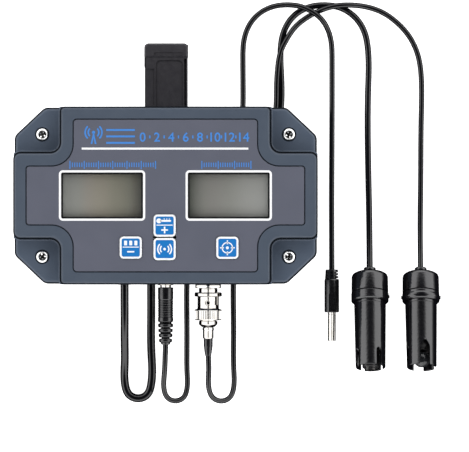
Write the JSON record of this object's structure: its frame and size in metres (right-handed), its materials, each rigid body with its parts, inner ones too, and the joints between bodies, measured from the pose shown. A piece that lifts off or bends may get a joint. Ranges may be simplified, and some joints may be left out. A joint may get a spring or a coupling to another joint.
{
  "type": "water quality meter with probes",
  "caption": "Hanging water quality meter with two displays, four keys, a sprung hanger clip, a bayonet coax lead, a power lead and two slotted probes on cables.",
  "frame": {"origin": "on the table under the middle of the meter without its leads: halfway between the case's two sides, and halfway between the hanger's tip and the end of the bayonet jack, at the underside of the feet", "axes": "+Z out of the display face, +Y to the case's top edge where the hanger is, +X to the right of someone who reads the displays"},
  "size_m": [0.2164, 0.205, 0.0388],
  "materials": {
    "case_plastic": "slate blue-grey moulded ABS, fine texture",
    "overlay_film": "printed polyester overlay, satin, with white lines and blue symbols",
    "clear_window": "clear acrylic",
    "display_grey": "unlit grey-green liquid crystal display",
    "key_blue": "blue keycap with a white rim",
    "switch_black": "moulded switch body",
    "board_green": "solder mask",
    "tin_can": "tinned sheet",
    "screw_steel": "bright plated",
    "connector_nickel": "bright nickel plate",
    "seal_rubber": "matt black rubber",
    "hanger_black": "black nylon, satin",
    "plug_black": "black overmoulded vinyl",
    "boot_black": "black heat-shrink sleeve",
    "probe_black": "black polished moulding",
    "probe_glass": "thin glass bulb",
    "cable_jacket": "smooth black vinyl jacket"
  },
  "bodies": {
    "meter": {"rear_cover": "case_plastic", "front_cover": "case_plastic", "case_gasket": "seal_rubber", "cable_grommet": "seal_rubber", "foot_1": "seal_rubber", "foot_2": "seal_rubber", "foot_3": "seal_rubber", "foot_4": "seal_rubber", "case_screw_1": "screw_steel", "case_screw_2": "screw_steel", "case_screw_3": "screw_steel", "case_screw_4": "screw_steel", "face_overlay": "overlay_film", "display_lens_left": "clear_window", "display_lens_right": "clear_window", "display_glass_left": "display_grey", "display_glass_right": "display_grey", "main_board": "board_green", "input_shield": "tin_can", "wireless_module": "tin_can", "switch_mode": "switch_black", "switch_temp": "switch_black", "switch_wireless": "switch_black", "switch_cal": "switch_black", "bnc_jack": "connector_nickel", "bnc_jack_nut": "connector_nickel", "bnc_plug_body": "connector_nickel", "bnc_ferrule": "connector_nickel", "power_inlet": "connector_nickel", "supply_plug_barrel": "connector_nickel", "bnc_boot": "boot_black", "power_connector": "plug_black", "supply_plug_body": "plug_black", "ec_probe_gland": "probe_black", "ec_probe_head": "probe_black", "ec_probe_guard": "probe_black", "ec_probe_electrode": "probe_black", "ph_probe_gland": "probe_black", "ph_probe_head": "probe_black", "ph_probe_guard": "probe_black", "ph_probe_electrode": "probe_black", "ph_probe_bulb": "probe_glass", "ec_cord": "cable_jacket", "power_cord": "cable_jacket", "ph_cord": "cable_jacket"},
    "hanger": {"hanger_strap": "hanger_black", "clip_pin": "screw_steel", "clip_spring": "screw_steel"},
    "clip": {"clip_arm": "hanger_black"},
    "key_mode": {"button_mode": "key_blue"},
    "key_temp": {"button_temp": "key_blue"},
    "key_wireless": {"button_wireless": "key_blue"},
    "key_cal": {"button_cal": "key_blue"},
    "bnc_nut": {"bnc_coupling_nut": "connector_nickel"},
    "ec_collar": {"ec_probe_collar": "probe_black"},
    "ph_collar": {"ph_probe_collar": "probe_black"}
  },
  "joints": [
    {"name": "hanger_slide", "type": "slide", "parent": "meter", "child": "hanger", "axis": [0, 1, 0], "range_m": [-0.024, 0.006]},
    {"name": "clip_hinge", "type": "hinge", "parent": "hanger", "child": "clip", "pos_m": [0, 0.064, 0.0025], "axis": [1, 0, 0], "range_deg": [0, 30], "stiffness_Nm_per_rad": 0.05, "springref_deg": -28.65},
    {"name": "mode_press", "type": "slide", "parent": "meter", "child": "key_mode", "axis": [0, 0, -1], "range_m": [0, 0.0008], "stiffness_N_per_m": 400, "springref_m": -0.0005},
    {"name": "temp_press", "type": "slide", "parent": "meter", "child": "key_temp", "axis": [0, 0, -1], "range_m": [0, 0.0008], "stiffness_N_per_m": 400, "springref_m": -0.0005},
    {"name": "wireless_press", "type": "slide", "parent": "meter", "child": "key_wireless", "axis": [0, 0, -1], "range_m": [0, 0.0008], "stiffness_N_per_m": 400, "springref_m": -0.0005},
    {"name": "cal_press", "type": "slide", "parent": "meter", "child": "key_cal", "axis": [0, 0, -1], "range_m": [0, 0.0008], "stiffness_N_per_m": 400, "springref_m": -0.0005},
    {"name": "bnc_twist", "type": "hinge", "parent": "meter", "child": "bnc_nut", "pos_m": [0.0215, -0.066, 0.0168], "axis": [0, -1, 0], "range_deg": [0, 45]},
    {"name": "ec_collar_twist", "type": "hinge", "parent": "meter", "child": "ec_collar", "pos_m": [0.104, -0.06206, 0.01319], "axis": [0, -0.9511, 0.309], "range_deg": [0, 90]},
    {"name": "ph_collar_twist", "type": "hinge", "parent": "meter", "child": "ph_collar", "pos_m": [0.13, -0.06206, 0.01319], "axis": [0, -0.9511, 0.309], "range_deg": [0, 90]}
  ]
}
